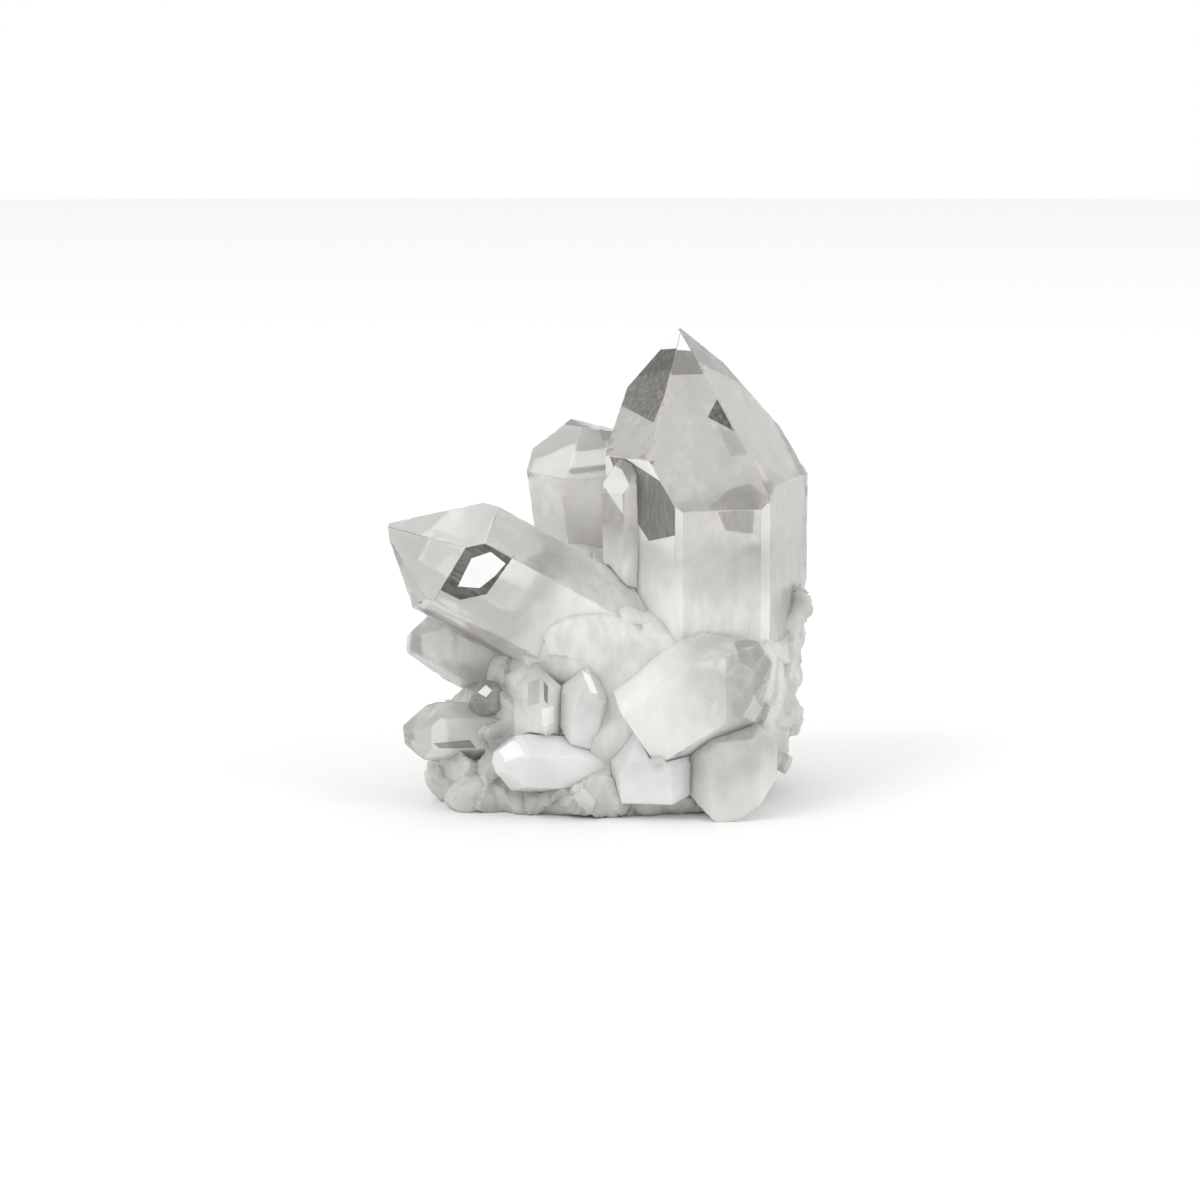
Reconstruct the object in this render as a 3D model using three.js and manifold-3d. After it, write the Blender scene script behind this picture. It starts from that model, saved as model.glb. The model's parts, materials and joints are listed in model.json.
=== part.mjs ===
// A clear quartz crystal cluster: one tall point, a second behind it, a big one leaning to the left,
// and smaller points all round, growing out of a lump of milky quartz that it stands on.
// Millimetres, +Z up, front towards -Y. The origin is under the middle of the cluster, at its flat foot.
import * as THREE from "three";
import { ConvexGeometry } from "three/addons/geometries/ConvexGeometry.js";
import { mergeVertices } from "three/addons/utils/BufferGeometryUtils.js";
import Module from "manifold-3d";

const radians = THREE.MathUtils.degToRad;

const wasm = await Module();
wasm.setup();

// ---- Driving dimensions ----
const HEX = 60; // degrees between one prism face of quartz and the next
const END_FACE_UP = 38.2; // degrees that the end faces of quartz look up from its prism faces
const GAP = 0.3; // space left between a crystal and what it grows against
const FOOT_BLOCK = 120; // side of the block that keeps only what is above the plane of the foot
// The base is one broken mass of rough lumps: these make its core and its torn right-hand edge,
const CORE_LUMPS = [
  { at: [6, 3, 13], size: [23, 15, 16] },
  { at: [-2, 2, 27], size: [13, 11, 13] },
  { at: [-13, 0, 9], size: [12, 13, 12] },
  { at: [17, 4, 13], size: [14, 14, 16] },
  { at: [-18, -5, 4], size: [7.4, 8.5, 7.5] },
  { at: [13, 12, 9], size: [17, 10, 11] },
  { at: [-6, 12, 8], size: [14, 9, 10] },
  { at: [24.5, 5, 12], size: [6.5, 12, 7] },
  { at: [26.2, 3, 18], size: [5, 9, 6.5] },
  { at: [27.7, 8, 22], size: [5, 9, 6.5] },
  { at: [29, 6, 28], size: [4.3, 7, 6] },
  { at: [29, 9, 33], size: [4.5, 4.5, 4] },
];
// and these stand in an oval round the foot, with sizes and heights between two limits.
const RIM = { lumps: 28, centre: [2, 2.5], reach: [21, 16.5], size: [3, 5.5], height: [1.8, 5.5] };
// A lump's facets stray from an even spread by some radians, and cut into its size by up to a share of it.
const LUMP = { facets: 18, stray: 0.35, rough: 0.16 };
const SEEDS = { core: 11, rim: 40, rimPlaces: 5 };

// ---- Materials ----
const clearQuartz = quartz(0xe4e3df, 0.06);
const frostedQuartz = quartz(0xdcdcd7, 0.18);
const milkyQuartz = quartz(0xd6d5cf, 0.45);

function quartz(color, roughness) {
  return new THREE.MeshStandardMaterial({ color, roughness, metalness: 0 });
}

// ---- Convex solids from planes ----

// A plane { n, d } keeps the points p with n.p <= d. This one faces around degrees from +X, and up degrees.
function facing(around, up, d) {
  const flat = Math.cos(radians(up));
  const n = new THREE.Vector3(
    flat * Math.cos(radians(around)),
    flat * Math.sin(radians(around)),
    Math.sin(radians(up)),
  );
  return { n, d };
}

// The point that three planes share, or null where two of them are nearly parallel.
function sharedPoint(a, b, c) {
  const bc = new THREE.Vector3().crossVectors(b.n, c.n);
  const ca = new THREE.Vector3().crossVectors(c.n, a.n);
  const ab = new THREE.Vector3().crossVectors(a.n, b.n);
  const det = a.n.dot(bc);
  if (Math.abs(det) < 1e-6) return null;
  return bc.multiplyScalar(a.d).addScaledVector(ca, b.d).addScaledVector(ab, c.d).divideScalar(det);
}

// The corners of the space inside all the planes. Corners closer than MERGE are one.
const MERGE = 0.02;
const ON_PLANE = 1e-4;

function corners(planes) {
  const found = [];
  for (let i = 0; i < planes.length; i++)
    for (let j = i + 1; j < planes.length; j++)
      for (let k = j + 1; k < planes.length; k++) {
        const p = sharedPoint(planes[i], planes[j], planes[k]);
        if (!p || planes.some(({ n, d }) => n.dot(p) > d + ON_PLANE)) continue;
        if (!found.some((q) => q.distanceTo(p) < MERGE)) found.push(p);
      }
  return found;
}

// A manifold-3d solid of the space inside the planes, placed by matrix.
function solidInside(planes, matrix = new THREE.Matrix4()) {
  const geometry = new ConvexGeometry(corners(planes));
  geometry.deleteAttribute("normal");
  geometry.deleteAttribute("uv");
  return solidOf(geometry.applyMatrix4(matrix));
}

// A closed three.js geometry as a manifold-3d solid, and the other way round.
function solidOf(geometry) {
  const merged = mergeVertices(geometry, 1e-4);
  return new wasm.Manifold(
    new wasm.Mesh({
      numProp: 3,
      vertProperties: merged.attributes.position.array,
      triVerts: new Uint32Array(merged.index.array),
    }),
  );
}

function geometryOf(solid) {
  const { numProp, vertProperties, triVerts } = solid.getMesh();
  const points = new Float32Array((vertProperties.length / numProp) * 3);
  for (let i = 0; i * 3 < points.length; i++)
    points.set(vertProperties.subarray(i * numProp, i * numProp + 3), i * 3);
  return new THREE.BufferGeometry()
    .setAttribute("position", new THREE.BufferAttribute(points, 3))
    .setIndex(new THREE.BufferAttribute(triVerts, 1));
}

// ---- A quartz crystal ----

// In a crystal's own frame the tip is the origin and the crystal lies along -Z.
// sides: how far each of the six prism faces is from the axis, counterclockwise from the one at turn.
// ends: how far below the tip each of the six end faces crosses the axis. Below zero makes a face small.
// narrow: [face, width] flats between a prism face and the next, as wide as said.
// cuts: [around, up, distance] facets that break the regular shape: which way a facet faces, in degrees,
// and how far it is from the tip.
function crystalPlanes({ sides, ends, turn, length, narrow = [], cuts = [] }, grow = 0) {
  const planes = [facing(0, -90, length)];
  sides.forEach((distance, face) => {
    const around = turn + HEX * face;
    planes.push(facing(around, 0, distance));
    planes.push(facing(around, END_FACE_UP, -ends[face] * Math.sin(radians(END_FACE_UP))));
  });
  for (const [face, width] of narrow) {
    const edge = (sides[face] + sides[(face + 1) % sides.length]) / (2 * Math.cos(radians(HEX / 2)));
    const depth = (width / 2) * Math.tan(radians(HEX / 2));
    planes.push(facing(turn + HEX * (face + 0.5), 0, edge - depth));
  }
  for (const [around, up, distance] of cuts) planes.push(facing(around, up, distance));
  return planes.map(({ n, d }) => ({ n, d: d + grow }));
}

// Where a crystal's own frame lies: its tip, and the way it points.
function crystalMatrix({ tip, points }) {
  const turned = new THREE.Quaternion().setFromUnitVectors(
    new THREE.Vector3(0, 0, 1),
    new THREE.Vector3(...points).normalize(),
  );
  return new THREE.Matrix4().compose(new THREE.Vector3(...tip), turned, new THREE.Vector3(1, 1, 1));
}

// ---- The crystals, in the order they keep their whole shape: each is cut by those before it ----
const crystals = [
  // The tall clear point, with a steep face high on its left and a lower right corner torn away.
  {
    name: "main_crystal",
    material: clearQuartz,
    tip: [13.4, 8, 76.6],
    points: [0, 0, 1],
    turn: -78,
    length: 68,
    sides: [21.9, 18.6, 18.3, 10.5, 8.9, 16],
    ends: [0.3, 1.5, -5.6, 0, 0.3, 0.3],
    narrow: [[0, 1.9], [5, 1.3]],
    cuts: [[177, 18, 5.2], [-48, 39.6, 0.5], [0, -17.3, 32.6]],
  },
  // The big clear point that leans out to the left.
  {
    name: "left_leaning_crystal",
    material: clearQuartz,
    tip: [-33.5, -9, 46],
    points: [-0.86, -0.12, 0.5],
    turn: -90,
    length: 42,
    sides: [9.5, 10.6, 9, 9, 7.7, 9.4],
    ends: [-1, 0, 0, 0, 0, -2],
  },
  // The clear point behind, between those two, with a wide slanting top.
  {
    name: "second_crystal",
    material: clearQuartz,
    tip: [-4.8, 11, 60.6],
    points: [-0.13, -0.15, 1],
    turn: -90,
    length: 48,
    sides: [8, 8.7, 8.7, 8, 8.2, 6.5],
    ends: [-4, -6, -6, 0, -6, 0],
    cuts: [[15, 66, 0]],
  },
  // The slender point squeezed in between the tall point and the one behind.
  {
    name: "slim_front_crystal",
    material: clearQuartz,
    tip: [3.2, -6.5, 57],
    points: [-0.04, -0.06, 1],
    turn: -125,
    length: 32,
    sides: [3, 3.4, 2.6, 3, 2.8, 3.2],
    ends: [2.4, 0, -2, 0, 0, 1],
  },
  // The blunt crystal that leans up to the right across the front of the tall point.
  {
    name: "lower_right_crystal",
    material: frostedQuartz,
    tip: [27.5, -17, 27.5],
    points: [0.8, -0.12, 0.53],
    turn: -90,
    length: 25,
    sides: [7, 7.5, 8, 9, 7.4, 8.3],
    ends: [3, 0, -2, 0, -1, 1],
    cuts: [[0, 90, -2]],
  },
  // Two blunt crystals that lie one above the other at the left.
  {
    name: "under_left_crystal",
    material: frostedQuartz,
    tip: [-33.5, -3, 24.5],
    points: [-0.9, -0.2, -0.06],
    turn: -90,
    length: 26,
    sides: [6.8, 7.4, 6.5, 6, 6.5, 7],
    ends: [1, -1, 0, 0, 0, 2],
    cuts: [[10, 84, -2.6]],
  },
  {
    name: "lower_left_crystal",
    material: clearQuartz,
    tip: [-32.8, -11, 12.7],
    points: [-0.95, -0.2, 0.04],
    turn: -75,
    length: 24,
    sides: [4.2, 4.4, 4, 4, 4.2, 4],
    ends: [0, 1, 0, 0, -1, 0],
    cuts: [[150, 80, -1.4]],
  },
  // The small crystal that points left along the foot of the front.
  {
    name: "foot_crystal",
    material: frostedQuartz,
    tip: [-18, -20, 10],
    points: [-0.88, -0.42, 0.14],
    turn: -75,
    length: 24,
    sides: [4.2, 4.4, 4, 4, 4.4, 4.4],
    ends: [0, 0, 0, 0, 0, 0],
    cuts: [[-110, 78, -2]],
  },
  // Two small upright crystals in the middle of the front.
  {
    name: "centre_left_crystal",
    material: clearQuartz,
    tip: [-10, -18, 25],
    points: [-0.02, -0.35, 1],
    turn: -90,
    length: 18,
    sides: [3.6, 3.2, 3.4, 3.4, 3.4, 3.2],
    ends: [0, 0, 0, 0, 0, 0],
  },
  {
    name: "centre_crystal",
    material: frostedQuartz,
    tip: [-1.5, -17, 25],
    points: [0.12, -0.35, 1],
    turn: -80,
    length: 18,
    sides: [4, 3.6, 3.6, 4, 3.8, 4],
    ends: [0, 1, 0, 0, 0, 0],
  },
  // Two flat-topped crystals that stand at the foot of the front, to the right and in the middle.
  {
    name: "right_foot_crystal",
    material: frostedQuartz,
    tip: [20.8, -16, 19.5],
    points: [0, -0.1, 1],
    turn: -84,
    length: 24,
    sides: [6, 6.3, 6.6, 7, 6.4, 6.5],
    ends: [0, 0, 0, 0, 0, 0],
    cuts: [[-100, 80, -5.2], [0, -54, 15.8], [180, -53, 16.6]],
  },
  {
    name: "middle_foot_crystal",
    material: frostedQuartz,
    tip: [7.6, -17.5, 17],
    points: [-0.05, -0.2, 1],
    turn: -100,
    length: 13.5,
    sides: [5, 6, 6, 6, 5.5, 6],
    ends: [0, 0, 0, 0, 0, 0],
    cuts: [[-60, 70, -2.6]],
  },
  // The tiny bright point between the crystals at the left.
  {
    name: "tiny_left_crystal",
    material: clearQuartz,
    tip: [-20.5, -14, 19],
    points: [-0.5, -0.75, 0.25],
    turn: -90,
    length: 14,
    sides: [2.8, 2.8, 2.8, 2.8, 2.8, 2.8],
    ends: [0, 0, 0, 0, 0, 0],
  },
  // Three crystals that lean out at the back, and two short ones below them.
  {
    name: "back_right_crystal",
    material: clearQuartz,
    tip: [23, 25, 40],
    points: [0.1, 0.25, 1],
    turn: 90,
    length: 36,
    sides: [5.5, 6, 6.5, 6.5, 6, 6],
    ends: [0, -2, 0, -2, 0, -2],
  },
  {
    name: "back_left_crystal",
    material: clearQuartz,
    tip: [-19, 20, 35],
    points: [-0.55, 0.35, 0.8],
    turn: 100,
    length: 32,
    sides: [5.5, 5.8, 5.5, 6, 5.5, 5.8],
    ends: [0, -1, 0, 1, 0, -1],
  },
  {
    name: "back_centre_crystal",
    material: frostedQuartz,
    tip: [6, 25, 26],
    points: [-0.15, 0.5, 0.85],
    turn: 90,
    length: 24,
    sides: [5, 5.5, 5, 5.5, 5, 5.5],
    ends: [0, 0, 0, -1, 0, 1],
    cuts: [[100, 78, -1.5]],
  },
  {
    name: "low_back_left_crystal",
    material: frostedQuartz,
    tip: [-15, 24, 13],
    points: [-0.35, 0.8, 0.3],
    turn: 60,
    length: 22,
    sides: [5, 5, 5.4, 5, 5.2, 5],
    ends: [0, 0, 0, 0, 0, 0],
    cuts: [[60, 80, -1]],
  },
  {
    name: "low_back_right_crystal",
    material: frostedQuartz,
    tip: [17, 26, 12],
    points: [0.3, 0.85, 0.35],
    turn: 80,
    length: 16,
    sides: [4.8, 4.6, 4.8, 4.6, 4.8, 4.6],
    ends: [0, 0, 1, 0, 0, 0],
  },
];

// ---- The milky base ----

// Repeatable random numbers from 0 to 1.
function randomFrom(seed) {
  let state = seed;
  return () => {
    state = (state * 1664525 + 1013904223) % 4294967296;
    return state / 4294967296;
  };
}

// A broken lump of rock. Its facets face about evenly all ways, spread on a spiral from pole to pole.
function lump([cx, cy, cz], [rx, ry, rz], seed) {
  const random = randomFrom(seed);
  const goldenAngle = Math.PI * (3 - Math.sqrt(5));
  const planes = [];
  for (let i = 0; i < LUMP.facets; i++) {
    const up = Math.asin(1 - (2 * i + 1) / LUMP.facets);
    const around = i * goldenAngle + seed + (2 * random() - 1) * LUMP.stray;
    const { n } = facing(THREE.MathUtils.radToDeg(around), THREE.MathUtils.radToDeg(up), 0);
    const reach = Math.hypot(n.x * rx, n.y * ry, n.z * rz) * (1 - LUMP.rough * random());
    planes.push({ n, d: reach + n.x * cx + n.y * cy + n.z * cz });
  }
  return solidInside(planes);
}

function makeBase() {
  const lumps = CORE_LUMPS.map(({ at, size }, i) => lump(at, size, SEEDS.core + i));
  const random = randomFrom(SEEDS.rimPlaces);
  const between = ([low, high]) => low + (high - low) * random();
  for (let i = 0; i < RIM.lumps; i++) {
    const angle = (i / RIM.lumps) * 2 * Math.PI;
    const x = RIM.centre[0] + RIM.reach[0] * Math.cos(angle);
    const y = RIM.centre[1] + RIM.reach[1] * Math.sin(angle);
    const size = between(RIM.size);
    lumps.push(lump([x, y, between(RIM.height)], [size, size, size], SEEDS.rim + i));
  }
  return wasm.Manifold.union(lumps);
}

// Everything above the plane that the cluster stands on.
function aboveFoot() {
  const block = new THREE.BoxGeometry(FOOT_BLOCK, FOOT_BLOCK, FOOT_BLOCK).translate(0, 0, FOOT_BLOCK / 2);
  block.deleteAttribute("normal");
  block.deleteAttribute("uv");
  return solidOf(block);
}

// ---- Assembly ----

// A crystal that grows right through another leaves a splinter on its far side: only the main body is kept.
function largest(solid) {
  return solid.decompose().sort((a, b) => b.volume() - a.volume())[0];
}

const cluster = new THREE.Group();
cluster.name = "quartz_cluster";
const above = aboveFoot();
const grownBefore = [];

for (const spec of crystals) {
  const matrix = crystalMatrix(spec);
  let solid = solidInside(crystalPlanes(spec), matrix).intersect(above);
  for (const other of grownBefore) solid = solid.subtract(other);
  grownBefore.push(solidInside(crystalPlanes(spec, GAP), matrix));
  const ownGeometry = geometryOf(largest(solid)).applyMatrix4(matrix.clone().invert());
  const mesh = new THREE.Mesh(ownGeometry, spec.material);
  mesh.name = spec.name;
  mesh.applyMatrix4(matrix);
  cluster.add(mesh);
}

const rock = makeBase().intersect(above).subtract(wasm.Manifold.union(grownBefore));
const base = new THREE.Mesh(geometryOf(largest(rock)), milkyQuartz);
base.name = "milky_base";
cluster.add(base);

// The cluster is moved so that the origin is under the middle of its outer box.
const middle = new THREE.Box3().setFromObject(cluster, true).getCenter(new THREE.Vector3());
cluster.position.set(-middle.x, -middle.y, 0);

export default cluster;
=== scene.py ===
"""The quartz cluster's looks: clear pointed crystals that turn milky at their roots, on a broken milky base."""
import json
import math
import random

import bmesh
import bpy
import numpy as np
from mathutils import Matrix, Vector, noise
from mathutils.bvhtree import BVHTree


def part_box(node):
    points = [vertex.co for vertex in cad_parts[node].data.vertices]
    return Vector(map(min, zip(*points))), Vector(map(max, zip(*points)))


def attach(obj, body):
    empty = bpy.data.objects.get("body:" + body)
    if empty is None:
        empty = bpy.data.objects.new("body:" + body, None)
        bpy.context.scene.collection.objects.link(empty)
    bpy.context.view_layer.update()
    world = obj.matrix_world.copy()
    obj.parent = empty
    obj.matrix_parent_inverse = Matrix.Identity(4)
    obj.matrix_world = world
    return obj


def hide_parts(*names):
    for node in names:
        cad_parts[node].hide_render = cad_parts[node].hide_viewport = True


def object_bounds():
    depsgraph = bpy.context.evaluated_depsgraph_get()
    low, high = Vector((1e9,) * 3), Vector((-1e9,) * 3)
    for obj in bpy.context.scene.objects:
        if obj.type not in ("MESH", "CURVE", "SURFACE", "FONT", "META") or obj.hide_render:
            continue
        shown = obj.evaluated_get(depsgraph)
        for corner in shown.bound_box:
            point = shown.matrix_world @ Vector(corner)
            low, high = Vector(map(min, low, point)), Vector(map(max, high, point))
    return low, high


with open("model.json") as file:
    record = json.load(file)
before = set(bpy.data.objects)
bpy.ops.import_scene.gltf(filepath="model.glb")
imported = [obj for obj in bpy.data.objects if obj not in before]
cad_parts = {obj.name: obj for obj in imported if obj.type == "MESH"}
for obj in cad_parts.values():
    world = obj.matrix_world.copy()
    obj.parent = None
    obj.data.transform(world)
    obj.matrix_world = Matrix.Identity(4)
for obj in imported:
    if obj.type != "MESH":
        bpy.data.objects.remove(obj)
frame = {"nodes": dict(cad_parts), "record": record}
cad_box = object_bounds()

MM = 0.001

# ---- Camera ----
CAMERA_DISTANCE = 520 * MM
CAMERA_UP = math.radians(9)
CAMERA_NEAREST = 10 * MM
AIM = Vector((-0.3, -2.9, 32.2)) * MM
LENS = 96.2

# ---- Studio ----
ROOM_LIGHT = (1.0, 0.995, 0.985)
ROOM_DARK = (0.6, 0.6, 0.6)
BACKDROP = (1.0, 1.0, 1.0)
# The room is darker towards here: it starts to darken at the first cosine, and is darkest past the second.
DARK_SIDE = (0.1, -1, 0.15)
DARK_FROM = 0.75
DARK_FULL = 0.85
# Area lights: where each is and how wide and high, in metres, and its power in watts.
LIGHTS = {
    "key": {"place": (-1.6, -1.4, 2.2), "size": (1.2, 1.2), "power": 18},
    "fill": {"place": (2.0, -1.2, 1.6), "size": (1.0, 1.0), "power": 9},
}
FLOOR_RADIUS = 3.0
FLOOR_SIDES = 64

# ---- The crystals: the way each points, and how many mm from its tip it is clear, and milky all through ----
CRYSTALS = {
    "main_crystal": {"axis": (0, 0, 1), "clear": 24, "milky": 46},
    "left_leaning_crystal": {"axis": (-0.86, -0.12, 0.5), "clear": 14, "milky": 33},
    "second_crystal": {"axis": (-0.13, -0.15, 1), "clear": 6, "milky": 27},
    "slim_front_crystal": {"axis": (-0.04, -0.06, 1), "clear": 4, "milky": 18},
    "lower_right_crystal": {"axis": (0.8, -0.12, 0.53), "clear": -4, "milky": 19},
    "under_left_crystal": {"axis": (-0.9, -0.2, -0.06), "clear": -12, "milky": 21},
    "lower_left_crystal": {"axis": (-0.95, -0.2, 0.04), "clear": -2, "milky": 19},
    "foot_crystal": {"axis": (-0.88, -0.42, 0.14), "clear": -16, "milky": 14},
    "centre_left_crystal": {"axis": (-0.02, -0.35, 1), "clear": -9, "milky": 12},
    "centre_crystal": {"axis": (0.12, -0.35, 1), "clear": -8, "milky": 12},
    "right_foot_crystal": {"axis": (0, -0.1, 1), "clear": -14, "milky": 19},
    "middle_foot_crystal": {"axis": (-0.05, -0.2, 1), "clear": -14, "milky": 12},
    "tiny_left_crystal": {"axis": (-0.5, -0.75, 0.25), "clear": 4, "milky": 12},
    "back_right_crystal": {"axis": (0.1, 0.25, 1), "clear": 6, "milky": 24},
    "back_left_crystal": {"axis": (-0.55, 0.35, 0.8), "clear": 5, "milky": 20},
    "back_centre_crystal": {"axis": (-0.15, 0.5, 0.85), "clear": -4, "milky": 14},
    "low_back_left_crystal": {"axis": (-0.35, 0.8, 0.3), "clear": -4, "milky": 12},
    "low_back_right_crystal": {"axis": (0.3, 0.85, 0.35), "clear": -4, "milky": 9},
}

# The facets that carry painted shade and painted highlights, by the way each faces. ANY_WAY is every facet.
ANY_WAY = None
MAIN_FRONT_END = (0.16, -0.77, 0.62)
MAIN_RIGHT_END = (0.75, -0.24, 0.62)
MAIN_LEFT_END = (-0.58, -0.53, 0.62)
MAIN_FRONT = (0.21, -0.98, 0)
MAIN_RIGHT = (0.95, -0.31, 0)
MAIN_LEFT = (-0.74, -0.67, 0)
MAIN_NARROW_RIGHT = (0.67, -0.74, 0)
MAIN_NARROW_LEFT = (-0.31, -0.95, 0)
LEANING_TOP = (-0.16, -0.51, 0.85)
LEANING_RIGHT = (0.47, -0.55, 0.68)
LEANING_END = (-0.48, -0.85, 0.21)
LEANING_FRONT = (0.07, -0.99, -0.12)
LEANING_UNDER = (-0.41, -0.44, -0.8)
SLIM_END = (-0.47, -0.68, 0.56)
SLIM_FRONT = (-0.57, -0.82, -0.07)
LOWER_LEFT_FRONT = (0.21, -0.98, 0.05)
LOWER_RIGHT_FRONT = (0.46, -0.85, 0.24)
FOOT_END = (-0.26, -0.69, 0.68)
FOOT_FRONT = (-0.24, -0.97, -0.05)

# Painted light on whole facets and on parts of them, later ones on top: painted shade where the stone reflects
# darkness inside itself, and painted highlights and painted reflections where it shines. Each has an outline, a
# painted shade and the facet that it is on. The outline is in mm to the right of and below the top left corner
# of the crystal's box, seen from the front. A painted shade of 1 is nearly black, 0 is like the rest, and -1 is
# a painted white highlight.
WHOLE = [(-5, -5), (80, -5), (80, 80), (-5, 80)]
LEANING_PAINTED_DARK_STREAK = [(4.6, 16.6), (7.4, 16.7), (12.2, 19.7), (19.6, 25), (19, 25.8), (11.7, 20.9), (5.8, 17.8)]
LEANING_PAINTED_DARK_FRAME = [(8.6, 12.7), (12.6, 5.9), (16.5, 5.1), (20.4, 7.1), (15.9, 13.5), (11.7, 14.4)]
LEANING_PAINTED_WHITE_WINDOW = [(11.4, 12.2), (13.6, 7.7), (16.6, 6.7), (18.9, 8.6), (17.2, 10.6), (14.8, 12.5)]
SLIM_PAINTED_GLINT = [(0, 0), (3.4, 1.6), (5.3, 5.4), (4.1, 9.2), (0, 3.4)]
FOOT_PAINTED_GLINT = [(0.4, 1), (3.4, 0.7), (5.4, 2.6), (2.5, 4.1), (0.7, 4)]
PAINTED_LIGHT = {
    "main_crystal": [
        (WHOLE, 0.26, MAIN_FRONT_END),
        (WHOLE, 0.38, MAIN_RIGHT_END),
        (WHOLE, 0.43, MAIN_RIGHT),
        (WHOLE, 0.34, MAIN_LEFT_END),
        (WHOLE, -0.6, MAIN_LEFT),
        (WHOLE, -0.45, MAIN_NARROW_RIGHT),
        (WHOLE, -0.45, MAIN_NARROW_LEFT),
        ([(2, 3.6), (12, 3), (10.5, 8), (7.7, 14.2), (2, 12)], 0.92, MAIN_LEFT_END),
        ([(8, 0), (16, 0), (16, 3), (12, 3), (8, 3.6)], -1, MAIN_LEFT_END),
        ([(0, 18), (11, 24), (11, 31), (7, 32.5), (4.5, 29)], 0.87, MAIN_LEFT),
        ([(18, 10.8), (20.7, 15.7), (16.4, 13.5)], 1, MAIN_FRONT_END),
        ([(17.9, 14.8), (20.7, 15.7), (22.8, 19.1), (19.9, 19.4)], 0.5, MAIN_FRONT_END),
        ([(8, 0), (16, 0), (15.2, 3.6), (10.6, 3.2)], -1, MAIN_FRONT_END),
        ([(17.2, 26), (23.4, 26), (23.4, 31), (19, 30.4)], 0.55, MAIN_FRONT),
    ],
    "left_leaning_crystal": [
        (WHOLE, -0.55, LEANING_TOP),
        (WHOLE, 0.2, LEANING_RIGHT),
        (WHOLE, -0.55, LEANING_END),
        (WHOLE, -0.52, LEANING_FRONT),
        (LEANING_PAINTED_DARK_STREAK, 0.6, LEANING_UNDER),
        (LEANING_PAINTED_DARK_FRAME, 1, LEANING_FRONT),
        (LEANING_PAINTED_WHITE_WINDOW, -1, LEANING_FRONT),
    ],
    "second_crystal": [([(-5, 1), (30, 1), (30, 9), (-5, 9)], -0.5, ANY_WAY)],
    "slim_front_crystal": [(SLIM_PAINTED_GLINT, -0.75, SLIM_END), (SLIM_PAINTED_GLINT, -0.75, SLIM_FRONT)],
    "under_left_crystal": [(WHOLE, 0.12, ANY_WAY)],
    "lower_left_crystal": [
        (WHOLE, -0.4, ANY_WAY),
        ([(5.1, 5.9), (10.9, 5.6), (12.4, 7.8), (9.5, 9.6)], 0.7, LOWER_LEFT_FRONT),
    ],
    "tiny_left_crystal": [
        (WHOLE, 0.1, ANY_WAY),
        ([(0.8, 2.5), (2.6, 3), (4.6, 5.8), (3, 5.6), (1, 4.2)], 0.45, ANY_WAY),
        ([(1.7, 1.7), (2.9, 0.8), (3.9, 1.5), (3, 2.5)], -1, ANY_WAY),
    ],
    "lower_right_crystal": [
        (WHOLE, -0.5, ANY_WAY),
        ([(18, 0), (27, 0), (27, 20), (18, 20)], 0.15, LOWER_RIGHT_FRONT),
        ([(19.4, 1.3), (23.2, 0.8), (25.1, 2.1), (22.1, 5.3), (20.4, 4)], 0.4, ANY_WAY),
        ([(25.2, 2.3), (22.1, 7.2), (23.2, 11), (25.2, 14)], 0.32, ANY_WAY),
    ],
    "foot_crystal": [
        (WHOLE, -0.85, ANY_WAY),
        (FOOT_PAINTED_GLINT, -1, FOOT_END),
        (FOOT_PAINTED_GLINT, -1, FOOT_FRONT),
    ],
    "centre_left_crystal": [
        (WHOLE, -0.45, ANY_WAY),
        ([(2.4, 2.9), (4.2, 2.4), (4.3, 6), (2.5, 6.4)], 0.2, ANY_WAY),
        ([(4.9, 2.7), (5.6, 3.6), (5.5, 6.2), (5, 5.5)], 0.75, ANY_WAY),
        ([(4.6, 7), (6.4, 6.7), (6.5, 9.8), (4.6, 10)], -1, ANY_WAY),
    ],
    "centre_crystal": [
        (WHOLE, -0.7, ANY_WAY),
        ([(4, 0.9), (5.4, 1.6), (6.6, 4.5), (5.5, 4.3)], -1, ANY_WAY),
    ],
    "middle_foot_crystal": [(WHOLE, -0.8, ANY_WAY)],
    "right_foot_crystal": [(WHOLE, -0.35, ANY_WAY)],
}
# A face is on a facet where the cosine between the two is above this.
FACET_SPREAD = 0.95

SLOTS = {row["node"]: row["material_slot"] for row in frame["record"]["subparts"]}

# ---- The shape of the crystals ----
# The CAD's corners closer than this are one, and faces that turn less than this are one facet.
SAME_CORNER = 0.01 * MM
SAME_FACET = math.radians(0.6)
EDGE = 0.16 * MM
EDGE_STEPS = 3
EDGE_ABOVE = math.radians(12)
# Facets are cut into cells, each as long and as wide as a random number of mm between two limits.
SLICE_ALONG = (0.5, 1.1)
SLICE_ACROSS = (1.4, 2.2)
CUT_NEAR = 1e-7
# How high the growth lines and the swell of a facet are, and how deep the nicks in its edges, in mm.
GROWTH_LINE = 0.035
SWELL = 0.06
NICK = 0.5
# Growth lines, coarse and fine: how often they turn per mm across and along the crystal.
LINES = (0.06, 0.9)
FINE_LINES = (0.15, 2.3)
FINE_SHARE = 0.5
ENDS_BARE = 2.5
SWELL_PER_MM = 0.22
NICKS_PER_MM = 0.8
FINE_NICKS_PER_MM = 2.1
NICK_ABOVE = 0.25
# How far apart in the noise the crystals lie, so that each has lines and nicks of its own.
NOISE_STEP = (17.3, 5.1, 9.7)
SHARP_ABOVE = math.radians(9)
SMOOTH_BELOW = math.radians(11)


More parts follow.
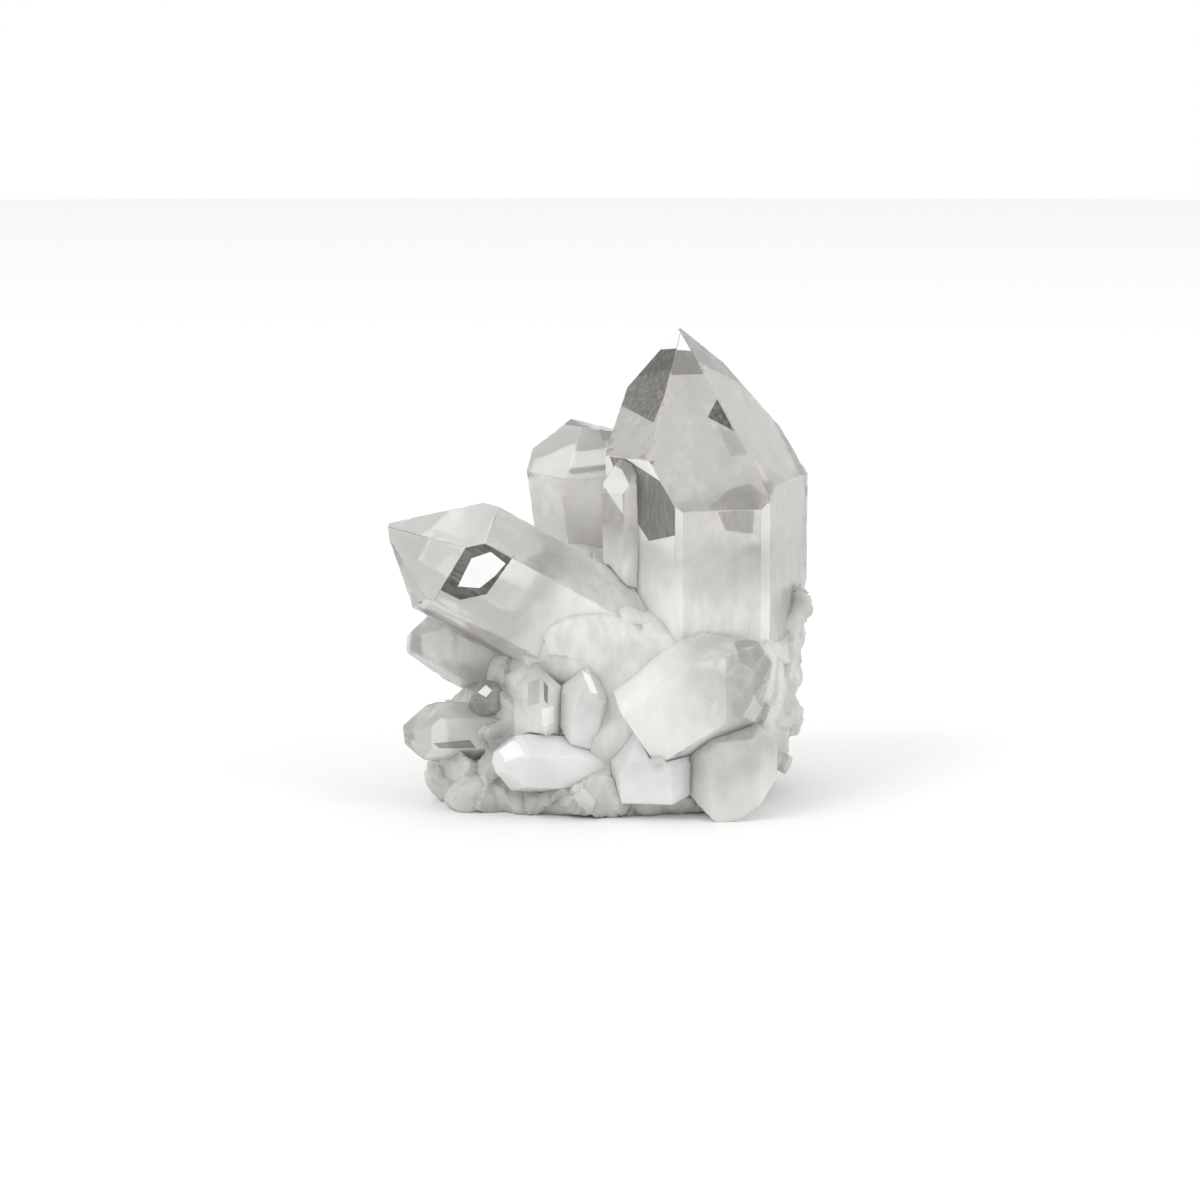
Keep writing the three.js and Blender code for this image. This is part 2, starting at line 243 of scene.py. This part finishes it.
def node_mesh(name):
    """A bmesh copy of a CAD node, its flat facets made whole again."""
    bm = bmesh.new()
    bm.from_mesh(frame["nodes"][name].data)
    bmesh.ops.remove_doubles(bm, verts=bm.verts, dist=SAME_CORNER)
    bmesh.ops.dissolve_limit(bm, angle_limit=SAME_FACET, verts=bm.verts, edges=bm.edges)
    return bm


def as_object(bm, name):
    mesh = bpy.data.meshes.new(name)
    bm.to_mesh(mesh)
    bm.free()
    obj = bpy.data.objects.new(name, mesh)
    bpy.context.scene.collection.objects.link(obj)
    return obj


def with_modifiers_applied(obj):
    """The same object, holding the mesh that its modifiers make."""
    depsgraph = bpy.context.evaluated_depsgraph_get()
    mesh = bpy.data.meshes.new_from_object(obj.evaluated_get(depsgraph))
    obj.modifiers.clear()
    obj.data = mesh
    mesh.name = obj.name
    return obj


def crystal_frame(axis):
    """Rotation from the frame of the cluster to that of a crystal, whose axis is Z there."""
    return Vector(axis).normalized().rotation_difference(Vector((0, 0, 1))).to_matrix()


def points_of(mesh):
    """The vertices of a mesh and their normals, in mm."""
    places = np.empty(len(mesh.vertices) * 3, np.float32)
    mesh.vertices.foreach_get("co", places)
    normals = np.empty(len(mesh.vertices) * 3, np.float32)
    mesh.vertex_normals.foreach_get("vector", normals)
    return places.reshape(-1, 3) / MM, normals.reshape(-1, 3)


def move_points(mesh, places):
    mesh.vertices.foreach_set("co", (places * MM).astype(np.float32).ravel())
    mesh.update()


def round_edges(obj):
    bevel = obj.modifiers.new("edges", "BEVEL")
    bevel.width = EDGE
    bevel.segments = EDGE_STEPS
    bevel.limit_method = "ANGLE"
    bevel.angle_limit = EDGE_ABOVE
    with_modifiers_applied(obj)


def cut_all(bm, place, normal):
    """Cuts every face that a plane crosses in two."""
    geometry = bm.verts[:] + bm.edges[:] + bm.faces[:]
    bmesh.ops.bisect_plane(bm, geom=geometry, dist=CUT_NEAR, plane_co=place, plane_no=normal)


def outline_of(name, corners):
    """An outline's corners in the frame of the cluster, in mm, as (x, z)."""
    low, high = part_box(name)
    return [(low.x / MM + right, high.z / MM - down) for right, down in corners]


def slice_up(obj, name, turn, seed):
    """Cuts the flat facets into small cells, so that growth lines can be shaped on them."""
    picks = random.Random(seed)
    bm = bmesh.new()
    bm.from_mesh(obj.data)
    # Cuts along the outlines of the painted shade and painted highlights too, so that their borders are crisp.
    for corners, _, _ in PAINTED_LIGHT.get(name, []):
        outline = outline_of(name, corners)
        for (x, z), (x2, z2) in zip(outline, outline[1:] + outline[:1]):
            cut_all(bm, Vector((x, 0, z)) * MM, Vector((z - z2, 0, x2 - x)))
    sizes = ((turn[2], SLICE_ALONG), (turn[0], SLICE_ACROSS), (turn[1], SLICE_ACROSS))
    for direction, (least, most) in sizes:
        reach = [v.co.dot(direction) for v in bm.verts]
        place = min(reach) + picks.uniform(least, most) * MM
        while place < max(reach):
            cut_all(bm, direction * place, direction)
            place += picks.uniform(least, most) * MM
    bmesh.ops.triangulate(bm, faces=bm.faces[:])
    bm.to_mesh(obj.data)
    bm.free()


def inside(outline, x, z):
    """Whether a point is inside a closed outline."""
    found = False
    for (x1, z1), (x2, z2) in zip(outline, outline[1:] + outline[:1]):
        if (z1 > z) != (z2 > z) and x < x1 + (z - z1) * (x2 - x1) / (z2 - z1):
            found = not found
    return found


def add_painted_light(obj, name):
    """Marks the faces inside each outline that face about the way of its facet with the outline's painted
    light: painted shade above zero, painted highlights below zero.
    """
    painted_lights = [0.0] * len(obj.data.polygons)
    for corners, painted_light, facing in PAINTED_LIGHT.get(name, []):
        outline = outline_of(name, corners)
        for face in obj.data.polygons:
            x, _, z = face.center / MM
            on_facet = facing is ANY_WAY or face.normal.dot(Vector(facing).normalized()) > FACET_SPREAD
            if on_facet and inside(outline, x, z):
                painted_lights[face.index] = painted_light
    obj.data.attributes.new("painted_light", "FLOAT", "FACE").data.foreach_set("value", painted_lights)


def growth_lines(p, across, along):
    """Noise that is drawn out across a crystal. Its axis is Z."""
    return noise.noise(Vector((p.x * across, p.y * across, p.z * along)))


def shape_growth(obj, turn, seed):
    """Growth lines across the prism faces, a slight swell of every facet, and small nicks along the edges."""
    places, normals = points_of(obj.data)
    edge_ness = sharpness(obj.data)
    shift = Vector([seed * step for step in NOISE_STEP])
    for i in range(len(places)):
        p = turn @ Vector(places[i]) + shift
        n = turn @ Vector(normals[i])
        prism = 1 - min(1, abs(n.z) * ENDS_BARE)
        lines = growth_lines(p, *LINES) + FINE_SHARE * growth_lines(p, *FINE_LINES)
        nick = noise.noise(p * NICKS_PER_MM) + FINE_SHARE * noise.noise(p * FINE_NICKS_PER_MM)
        out = GROWTH_LINE * prism * lines + SWELL * noise.noise(p * SWELL_PER_MM)
        out -= NICK * edge_ness[i] * max(0, nick - NICK_ABOVE)
        places[i] += normals[i] * out
    move_points(obj.data, places)


def sharpness(mesh):
    """1 at the vertices of a crystal's edges, 0 on its flat facets."""
    bm = bmesh.new()
    bm.from_mesh(mesh)
    sharp = []
    for v in bm.verts:
        turns = [e.calc_face_angle(0) for e in v.link_edges]
        sharp.append(1.0 if max(turns, default=0) > SHARP_ABOVE else 0.0)
    bm.free()
    return sharp


def add_position(mesh, places):
    """Every point's place in the frame of the cluster, in mm, for the materials."""
    mesh.attributes.new("place", "FLOAT_VECTOR", "POINT").data.foreach_set("vector", places.ravel())


def add_grain(obj, spec):
    """Every point's place in mm from the tip, in the crystal's own frame, and how far it is to milky."""
    turn = crystal_frame(spec["axis"])
    places = [turn @ v.co / MM for v in obj.data.vertices]
    tip = max(p.z for p in places)
    grain = obj.data.attributes.new("grain", "FLOAT_VECTOR", "POINT")
    grain.data.foreach_set("vector", [c for p in places for c in (p.x, p.y, p.z - tip)])
    ramp = obj.data.attributes.new("milk_ramp", "FLOAT", "POINT")
    reach = spec["milky"] - spec["clear"]
    ramp.data.foreach_set("value", [(tip - p.z - spec["clear"]) / reach for p in places])
    add_position(obj.data, points_of(obj.data)[0])


def make_crystal(name, spec, material, seed):
    """One crystal: the CAD's, with fine edges, growth lines, nicks, and painted shade and painted highlights on
    some facets.
    """
    obj = as_object(node_mesh(name), name + "_visual")
    turn = crystal_frame(spec["axis"])
    round_edges(obj)
    slice_up(obj, name, turn, seed)
    add_painted_light(obj, name)
    shape_growth(obj, turn, seed)
    obj.data.shade_smooth()
    obj.data.set_sharp_from_angle(angle=SMOOTH_BELOW)
    add_grain(obj, spec)
    obj.data.materials.clear()
    obj.data.materials.append(material)
    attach(obj, "root")
    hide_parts(name)


# ---- Materials ----
CLEAR_TINT = (0.72, 0.705, 0.68)
FROSTED_TINT = (0.80, 0.795, 0.775)
MILKY_TINT = (0.86, 0.845, 0.82)
MILKY_SHADE = (0.74, 0.73, 0.70)
# The white of the veils and seams, and also of the painted highlights and painted reflections on facets.
BRIGHT_TINT = (0.99, 0.985, 0.975)
# The near black of the painted shade on facets.
PAINTED_DARK_TINT = (0.04, 0.037, 0.034)
FOOT_TINT = (0.82, 0.82, 0.795)
FOOT_SHADE = (0.66, 0.662, 0.635)
FLOOR_TINT = (0.93, 0.93, 0.93)
QUARTZ_IOR = 1.544
# Light that sinks into the stone and comes out beside where it went in.
INNER_GLOW = {
    "Subsurface_Weight": 0.6,
    "Subsurface_Radius": (1.0, 0.95, 0.9),
    "Subsurface_Scale": 3 * MM,
}
# Roughness of the crystals' roots, and of the rock at its smoothest, and how much noise adds to them at most.
ROOT_GLOSS = 0.15
ROCK_GLOSS = 0.31
UNEVEN_GLOSS = 0.08
UNEVEN_FOOT_GLOSS = 0.25
# Noise in the stone, in mm: drawn multiplies its axes, scale is how often it turns, and detail adds octaves.
MILKY_STREAKS = {"drawn": (0.5, 0.5, 0.16), "scale": 1, "detail": 4, "roughness": 0.6}
CLOUDS = {"scale": 0.12, "detail": 3}
VEILS = {"drawn": (1, 1, 0.45), "scale": 0.26, "detail": 5, "roughness": 0.58}
# Streaks that mottle the painted shade on facets.
PAINTED_DARK_MOTTLE = {"drawn": (1.6, 1.6, 0.35), "scale": 1, "detail": 5, "roughness": 0.65}
GROWTH_BUMPS = {"drawn": (0.12, 0.12, 2.4), "scale": 1, "detail": 3}
SMUDGES = {"scale": 0.9, "detail": 3}
ROCK_CLOUDS = {"scale": 0.2, "detail": 4, "roughness": 0.6}
FOOT_STAINS = {"scale": 0.28, "detail": 5, "roughness": 0.6}
SEAM_PATCHES = {"scale": 0.35, "detail": 2}
GRAINS = {"scale": 1.3, "detail": 6, "roughness": 0.65}
CRACKS_PER_MM = 0.32
# The part of each noise's range over which what it drives goes from none to full.
STREAKS_FADE = (0.35, 0.65)
VEILS_FADE = (0.45, 0.8)
PAINTED_DARK_MOTTLE_FADE = (0.35, 0.7)
PATCHES_FADE = (0.5, 0.7)
SEAMS_FADE = (0.0, 0.05)
GRAINS_FADE = (0, 0.8)
# Clouds move the border between clear and milky stone, and between white and grey rock.
CLOUDS_SWAY, CLOUDS_SHIFT = 0.45, -0.22
ROCK_SWAY, ROCK_SHIFT = 0.6, -0.3
# How strong veils, seams and the painted shade on facets are, and how much of the light fog and painted shade
# block or let through.
VEIL = 0.3
SEAM = 0.4
PAINTED_DARK_AT_LEAST = 0.84
FOG_BLOCKS = 0.88
PAINTED_DARK_BLOCKS = 0.5
FOOT_THROUGH, WHITE_THROUGH = 0.3, 0.12
# Bumps: their height, their strength, and how much of them is left where the stone is milky or white.
LINE_HEIGHT, LINE_STRENGTH, LINES_LEFT = 0.025 * MM, 0.5, 0.3
GRAIN_HEIGHT, GRAIN_STRENGTH, GRAINS_LEFT = 0.12 * MM, 0.6, 0.2


class Shading:
    """A Principled material and short ways to add nodes to it."""

    def __init__(self, name):
        self.material = bpy.data.materials.new(name)
        self.material.use_nodes = True
        self.nodes = self.material.node_tree.nodes
        self.links = self.material.node_tree.links
        self.shader = self.nodes["Principled BSDF"]

    def put(self, value, socket):
        """Links a node's output to the socket, or sets a constant on it."""
        if isinstance(value, bpy.types.NodeSocket):
            self.links.new(value, socket)
        else:
            socket.default_value = value

    def set(self, **values):
        """Sets or links inputs of the shader by name, with _ for a space."""
        for name, value in values.items():
            self.put(value, self.shader.inputs[name.replace("_", " ")])

    def attribute(self, name, output="Fac"):
        node = self.nodes.new("ShaderNodeAttribute")
        node.attribute_name = name
        return node.outputs[output]

    def math(self, operation, *values, clamp=False):
        node = self.nodes.new("ShaderNodeMath")
        node.operation = operation
        node.use_clamp = clamp
        for value, socket in zip(values, node.inputs):
            self.put(value, socket)
        return node.outputs[0]

    def stretched(self, vector, scale):
        """The vector with each axis multiplied by its own number."""
        node = self.nodes.new("ShaderNodeVectorMath")
        node.operation = "MULTIPLY"
        self.put(vector, node.inputs[0])
        node.inputs[1].default_value = scale
        return node.outputs[0]

    def noise(self, vector, scale, detail, roughness=0.5, drawn=None):
        """Noise that turns about scale times per unit of the vector, with finer detail."""
        if drawn:
            vector = self.stretched(vector, drawn)
        node = self.nodes.new("ShaderNodeTexNoise")
        self.put(vector, node.inputs["Vector"])
        node.inputs["Scale"].default_value = scale
        node.inputs["Detail"].default_value = detail
        node.inputs["Roughness"].default_value = roughness
        return node.outputs["Fac"]

    def cracks(self, vector, scale):
        """How far a point is from the nearest border between cells."""
        node = self.nodes.new("ShaderNodeTexVoronoi")
        node.feature = "DISTANCE_TO_EDGE"
        self.put(vector, node.inputs["Vector"])
        node.inputs["Scale"].default_value = scale
        return node.outputs["Distance"]

    def ramp(self, value, low, high, out_low=0.0, out_high=1.0):
        """Runs smoothly from out_low, where the value is low, to out_high, where it is high."""
        node = self.nodes.new("ShaderNodeMapRange")
        node.interpolation_type = "SMOOTHSTEP"
        self.put(value, node.inputs["Value"])
        for name, number in (("From Min", low), ("From Max", high)):
            self.put(number, node.inputs[name])
        for name, number in (("To Min", out_low), ("To Max", out_high)):
            self.put(number, node.inputs[name])
        return node.outputs["Result"]

    def mix(self, share, a, b):
        """Colour a where the share is 0, and b where it is 1."""
        node = self.nodes.new("ShaderNodeMix")
        node.data_type = "RGBA"
        self.put(share, node.inputs["Factor"])
        self.put((*a, 1) if isinstance(a, tuple) else a, node.inputs["A"])
        self.put((*b, 1) if isinstance(b, tuple) else b, node.inputs["B"])
        return node.outputs["Result"]

    def bump(self, height, distance, strength):
        node = self.nodes.new("ShaderNodeBump")
        node.inputs["Distance"].default_value = distance
        node.inputs["Strength"].default_value = strength
        self.put(height, node.inputs["Height"])
        self.put(node.outputs["Normal"], self.shader.inputs["Normal"])


def milky_tint(m, place):
    """The colour of the milky stone, in soft streaks. Place is in mm in the frame of the cluster."""
    streaks = m.ramp(m.noise(place, **MILKY_STREAKS), *STREAKS_FADE)
    return m.mix(streaks, MILKY_TINT, MILKY_SHADE)


def quartz_material(name, clear_tint, haze, gloss):
    """Stone that is clear at the tip and milky at the root, with painted shade and painted highlights where
    facets are marked. Tint, haze and gloss are those of its tip.
    """
    m = Shading(name)
    grain = m.attribute("grain", "Vector")
    # Painted light marked on the faces: painted shade above zero, painted highlights below zero.
    painted_light = m.attribute("painted_light")
    painted_dark = m.math("MAXIMUM", painted_light, 0)
    painted_bright = m.math("MAXIMUM", m.math("MULTIPLY", painted_light, -1), 0)

    sway = m.math("MULTIPLY_ADD", m.noise(grain, **CLOUDS), CLOUDS_SWAY, CLOUDS_SHIFT)
    milk = m.ramp(m.math("ADD", m.attribute("milk_ramp"), sway), 0, 1)
    veils = m.ramp(m.noise(grain, **VEILS), *VEILS_FADE)
    # Streaks that mottle the painted shade.
    streaks = m.ramp(m.noise(grain, **PAINTED_DARK_MOTTLE), *PAINTED_DARK_MOTTLE_FADE, 1, PAINTED_DARK_AT_LEAST)

    tint = m.mix(milk, clear_tint, milky_tint(m, m.attribute("place", "Vector")))
    tint = m.mix(m.math("MULTIPLY", veils, VEIL), tint, BRIGHT_TINT)
    # Painted shade darkens the tint towards near black, and painted highlights whiten it.
    tint = m.mix(m.math("MULTIPLY", painted_dark, streaks, clamp=True), tint, PAINTED_DARK_TINT)
    tint = m.mix(painted_bright, tint, BRIGHT_TINT)

    fog = m.math("MAXIMUM", milk, m.math("MULTIPLY_ADD", veils, VEIL, haze))
    # Painted highlights also fog the stone white, and painted shade lets less light through.
    fog = m.math("MAXIMUM", fog, painted_bright, clamp=True)
    through = m.math("MULTIPLY_ADD", fog, -FOG_BLOCKS, 1.0)
    through = m.math("MULTIPLY", through, m.math("MULTIPLY_ADD", painted_dark, -PAINTED_DARK_BLOCKS, 1.0))
    even = m.ramp(milk, 0, 1, gloss, ROOT_GLOSS)
    rough = m.math("MULTIPLY_ADD", m.noise(grain, **SMUDGES), UNEVEN_GLOSS, even)

    lines = m.math("MULTIPLY", m.noise(grain, **GROWTH_BUMPS), m.ramp(milk, 0, 1, 1, LINES_LEFT))
    m.bump(lines, LINE_HEIGHT, LINE_STRENGTH)
    m.set(
        Base_Color=tint,
        Transmission_Weight=through,
        Roughness=rough,
        IOR=QUARTZ_IOR,
        **INNER_GLOW,
    )
    return m.material


def rock_material():
    """Milky stone: white where the crystals grow out of it, greyer and rougher towards the foot."""
    m = Shading("milky_rock")
    place = m.attribute("place", "Vector")
    sway = m.math("MULTIPLY_ADD", m.noise(place, **ROCK_CLOUDS), ROCK_SWAY, ROCK_SHIFT)
    white = m.ramp(m.math("ADD", m.attribute("whiteness"), sway), 0, 1)
    foot = m.mix(m.ramp(m.noise(place, **FOOT_STAINS), *STREAKS_FADE), FOOT_TINT, FOOT_SHADE)
    tint = m.mix(white, foot, milky_tint(m, place))
    seams = m.ramp(m.cracks(place, CRACKS_PER_MM), *SEAMS_FADE, SEAM, 0)
    seams = m.math("MULTIPLY", seams, m.ramp(m.noise(place, **SEAM_PATCHES), *PATCHES_FADE))
    seams = m.math("MULTIPLY", seams, m.math("SUBTRACT", 1, white))
    tint = m.mix(seams, tint, BRIGHT_TINT)
    uneven = m.ramp(white, 0, 1, UNEVEN_FOOT_GLOSS, UNEVEN_GLOSS)
    rough = m.math("MULTIPLY_ADD", m.noise(place, **SMUDGES), uneven, ROCK_GLOSS)
    grains = m.math("MULTIPLY", m.noise(place, **GRAINS), m.ramp(white, *GRAINS_FADE, 1, GRAINS_LEFT))
    m.bump(grains, GRAIN_HEIGHT, GRAIN_STRENGTH)
    m.set(
        Base_Color=tint,
        Roughness=rough,
        IOR=QUARTZ_IOR,
        Transmission_Weight=m.ramp(white, 0, 1, FOOT_THROUGH, WHITE_THROUGH),
        **INNER_GLOW,
    )
    return m.material


def floor_material():
    """A plain, pale floor without shine."""
    m = Shading("pale_floor")
    m.set(Base_Color=(*FLOOR_TINT, 1), Roughness=0.8, Specular_IOR_Level=0.0)
    return m.material


# ---- The milky core ----
VOXEL = 0.5 * MM
FINE_VOXEL = 0.36 * MM
SOFTEN = 5
SOFTEN_FINE = 1
# How far the core stands out, in mm: from the CAD base, from the roots of the crystals at their top, and from
# them further down than ROOT_TAPER. One root has a thicker crust, and two have none.
BASE_HUG = 0.3
ROOT_SINK = -0.5
ROOT_SWELL = 0.3
ROOT_TAPER = 7.0
THICK_CRUST = {"main_crystal": 1.0}
BARE_ROOTS = ("lower_right_crystal", "left_leaning_crystal")
# The stone is whitest and smoothest near its heart, and grey and broken further than GREY_AT mm from it.
# The heart, and the middles of the fills, are shares of the cluster's width, depth and height, counted from
# the middle of its foot.
HEART = (0.103, -0.116, 0.291)
WHITE_WITHIN = 15.0
GREY_AT = 32.0
SMOOTH_WHERE_WHITE = 0.95
# The stone breaks in cells, each tilted its own way: (size of a cell in mm, slope of its facet).
BREAKS = [(6.5, 0.75), (2.8, 0.32)]
TILT_SEED = 31.7
BROKEN_ABOVE = math.radians(28)
# Fine grit: its height in mm, how often it turns per mm, and how each of its octaves differs from the last.
GRIT = 0.1
GRIT_PER_MM = 0.9
GRIT_FALL, GRIT_STEP, GRIT_OCTAVES = 0.9, 2.1, 3
# Smooth swellings of the milky stone between the crystals: (middle, half sizes in mm).
FILLS = [
    ((-0.029, -0.175, 0.35), (12, 11, 9)),
    ((0.103, -0.175, 0.264), (14, 11, 12.5)),
    ((-0.132, -0.116, 0.225), (11, 11, 9)),
    ((0.044, -0.175, 0.172), (13, 11, 8)),
]


def place_of(shares):
    """A place in mm, from its shares of the cluster's width, depth and height."""
    low, high = cad_box
    return Vector([share * (b - a) / MM for share, a, b in zip(shares, low, high)])


def root_part(name, spec):
    """The milky part of a crystal, closed by a flat face: mesh, axis, the face's place and the crust."""
    bm = node_mesh(name)
    axis = Vector(spec["axis"]).normalized()
    top = max(v.co.dot(axis) for v in bm.verts) - spec["milky"] * MM
    geometry = bm.verts[:] + bm.edges[:] + bm.faces[:]
    cut = bmesh.ops.bisect_plane(
        bm, geom=geometry, plane_co=axis * top, plane_no=axis, clear_outer=True
    )
    open_edges = [e for e in cut["geom_cut"] if isinstance(e, bmesh.types.BMEdge)]
    bmesh.ops.holes_fill(bm, edges=open_edges)
    return bm, axis, top, THICK_CRUST.get(name, ROOT_SWELL)


def fill_part(middle, half_sizes):
    """A smooth swelling: a ball stretched to its half sizes."""
    bm = bmesh.new()
    ball = bmesh.ops.create_icosphere(bm, subdivisions=4, radius=MM)["verts"]
    for v in ball:
        v.co = place_of(middle) * MM + v.co * Vector(half_sizes)
    return bm


def remeshed(obj, voxel):
    remesh = obj.modifiers.new("remesh", "REMESH")
    remesh.mode = "VOXEL"
    remesh.voxel_size = voxel
    return with_modifiers_applied(obj)


def soften(mesh, rounds):
    """Moves every vertex halfway to the middle of its neighbours, again and again."""
    edges = np.empty(len(mesh.edges) * 2, np.int32)
    mesh.edges.foreach_get("vertices", edges)
    a, b = edges.reshape(-1, 2).T
    places, _ = points_of(mesh)
    count = np.bincount(np.concatenate((a, b)), minlength=len(places))[:, None]
    for _ in range(rounds):
        total = np.zeros_like(places)
        np.add.at(total, a, places[b])
        np.add.at(total, b, places[a])
        places = (places + total / count) / 2
    move_points(mesh, places)


def smooth_step(value):
    t = min(1.0, max(0.0, value))
    return t * t * (3 - 2 * t)


def swell_of(place, trees):
    """How far the core stands out from the nearest part, in mm: sunk at the top of a root, then swollen."""
    _, axis, top, crust = min(trees, key=lambda tree: tree[0].find_nearest(place)[3])
    if axis is None:
        return crust
    depth = (top - place.dot(axis)) / MM
    return ROOT_SINK + (crust - ROOT_SINK) * smooth_step(depth / ROOT_TAPER)


def make_core(material):
    """The milky base and the milky roots of the crystals, grown together into one broken mass."""
    parts = [(node_mesh("milky_base"), None, None, BASE_HUG)]
    parts += [(fill_part(*fill), None, None, BASE_HUG) for fill in FILLS]
    parts += [root_part(name, spec) for name, spec in CRYSTALS.items() if name not in BARE_ROOTS]
    joined = bmesh.new()
    trees = []
    for part, axis, top, crust in parts:
        if part.faces:
            trees.append((BVHTree.FromBMesh(part), axis, top, crust))
            mesh = bpy.data.meshes.new("part")
            part.to_mesh(mesh)
            joined.from_mesh(mesh)
            bpy.data.meshes.remove(mesh)
        part.free()
    obj = remeshed(as_object(joined, "milky_core"), VOXEL)
    places, normals = points_of(obj.data)
    swell = [swell_of(Vector(p) * MM, trees) for p in places]
    move_points(obj.data, places + normals * np.array(swell)[:, None])
    soften(obj.data, SOFTEN)
    remeshed(obj, FINE_VOXEL)
    soften(obj.data, SOFTEN_FINE)
    add_breaks(obj.data)
    add_whiteness(obj.data)
    obj.data.shade_smooth()
    obj.data.set_sharp_from_angle(angle=BROKEN_ABOVE)
    obj.data.materials.clear()
    obj.data.materials.append(material)
    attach(obj, "root")
    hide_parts("milky_base")


def broken_facet(p, size, slope):
    """How far the stone's surface stands out at p where it is broken into tilted facets."""
    cell = noise.voronoi(p / size)[1][0]
    tilt = noise.cell_vector(cell * TILT_SEED) - Vector((0.5, 0.5, 0.5))
    return (p / size - cell).dot(tilt) * slope * size


def whiteness(places):
    """1 round the heart of the stone, 0 and below far from it."""
    away = np.linalg.norm(places - np.array(place_of(HEART)), axis=-1)
    return (GREY_AT - away) / (GREY_AT - WHITE_WITHIN)


def add_breaks(mesh):
    """Broken facets and grit, faint near the heart. Nothing goes below the plane of the foot."""
    places, normals = points_of(mesh)
    for i in range(len(places)):
        p = Vector(places[i])
        low = 1 - SMOOTH_WHERE_WHITE * smooth_step(whiteness(places[i]))
        out = sum(broken_facet(p, size, slope) for size, slope in BREAKS)
        grit = noise.fractal(p * GRIT_PER_MM, GRIT_FALL, GRIT_STEP, GRIT_OCTAVES)
        places[i] += normals[i] * low * (out + GRIT * grit)
    places[:, 2] = np.maximum(places[:, 2], 0)
    move_points(mesh, places)


def add_whiteness(mesh):
    """How white the stone is at every point, and the point's place, for its material."""
    places, _ = points_of(mesh)
    mesh.attributes.new("whiteness", "FLOAT", "POINT").data.foreach_set("value", whiteness(places))
    add_position(mesh, places)


# ---- Stage ----
def make_floor():
    bm = bmesh.new()
    bmesh.ops.create_circle(bm, cap_ends=True, segments=FLOOR_SIDES, radius=FLOOR_RADIUS)
    floor = as_object(bm, "floor")
    floor.data.materials.append(floor_material())


def make_camera():
    data = bpy.data.cameras.new("camera")
    data.lens = LENS
    data.clip_start = CAMERA_NEAREST
    camera = bpy.data.objects.new("camera", data)
    bpy.context.scene.collection.objects.link(camera)
    back = Vector((0, -math.cos(CAMERA_UP), math.sin(CAMERA_UP)))
    camera.location = AIM + back * CAMERA_DISTANCE
    camera.rotation_euler = (-back).to_track_quat("-Z", "Y").to_euler()
    bpy.context.scene.camera = camera


def make_world():
    """A pale room, darker on one side, that lights the stone. The camera sees a plain backdrop instead."""
    world = bpy.data.worlds.new("studio")
    world.use_nodes = True
    bpy.context.scene.world = world
    nodes, links = world.node_tree.nodes, world.node_tree.links
    room = nodes["Background"]
    place = nodes.new("ShaderNodeTexCoord")
    toward = nodes.new("ShaderNodeVectorMath")
    toward.operation = "DOT_PRODUCT"
    toward.inputs[1].default_value = Vector(DARK_SIDE).normalized()
    links.new(place.outputs["Generated"], toward.inputs[0])
    ramp = nodes.new("ShaderNodeValToRGB")
    ramp.color_ramp.elements[0].position = DARK_FROM
    ramp.color_ramp.elements[0].color = (*ROOM_LIGHT, 1)
    ramp.color_ramp.elements[1].position = DARK_FULL
    ramp.color_ramp.elements[1].color = (*ROOM_DARK, 1)
    links.new(toward.outputs["Value"], ramp.inputs["Fac"])
    links.new(ramp.outputs["Color"], room.inputs["Color"])
    plain = nodes.new("ShaderNodeBackground")
    plain.inputs["Color"].default_value = (*BACKDROP, 1)
    path = nodes.new("ShaderNodeLightPath")
    mix = nodes.new("ShaderNodeMixShader")
    links.new(path.outputs["Is Camera Ray"], mix.inputs["Fac"])
    links.new(room.outputs[0], mix.inputs[1])
    links.new(plain.outputs[0], mix.inputs[2])
    links.new(mix.outputs[0], nodes["World Output"].inputs["Surface"])


def make_light(name, place, size, power):
    data = bpy.data.lights.new(name, "AREA")
    data.shape = "RECTANGLE"
    data.size, data.size_y = size
    data.energy = power
    light = bpy.data.objects.new(name, data)
    bpy.context.scene.collection.objects.link(light)
    light.location = place
    light.rotation_euler = (AIM - Vector(place)).to_track_quat("-Z", "Y").to_euler()


make_camera()
make_floor()
make_world()
for light_name, light in LIGHTS.items():
    make_light(light_name, **light)
bpy.context.scene.view_settings.view_transform = "Standard"

quartz = {
    "clear_quartz": quartz_material("clear_quartz", CLEAR_TINT, haze=0.28, gloss=0.02),
    "frosted_quartz": quartz_material("frosted_quartz", FROSTED_TINT, haze=0.5, gloss=0.1),
}
for seed, (crystal, spec) in enumerate(CRYSTALS.items()):
    make_crystal(crystal, spec, quartz[SLOTS[crystal]], seed)
make_core(rock_material())
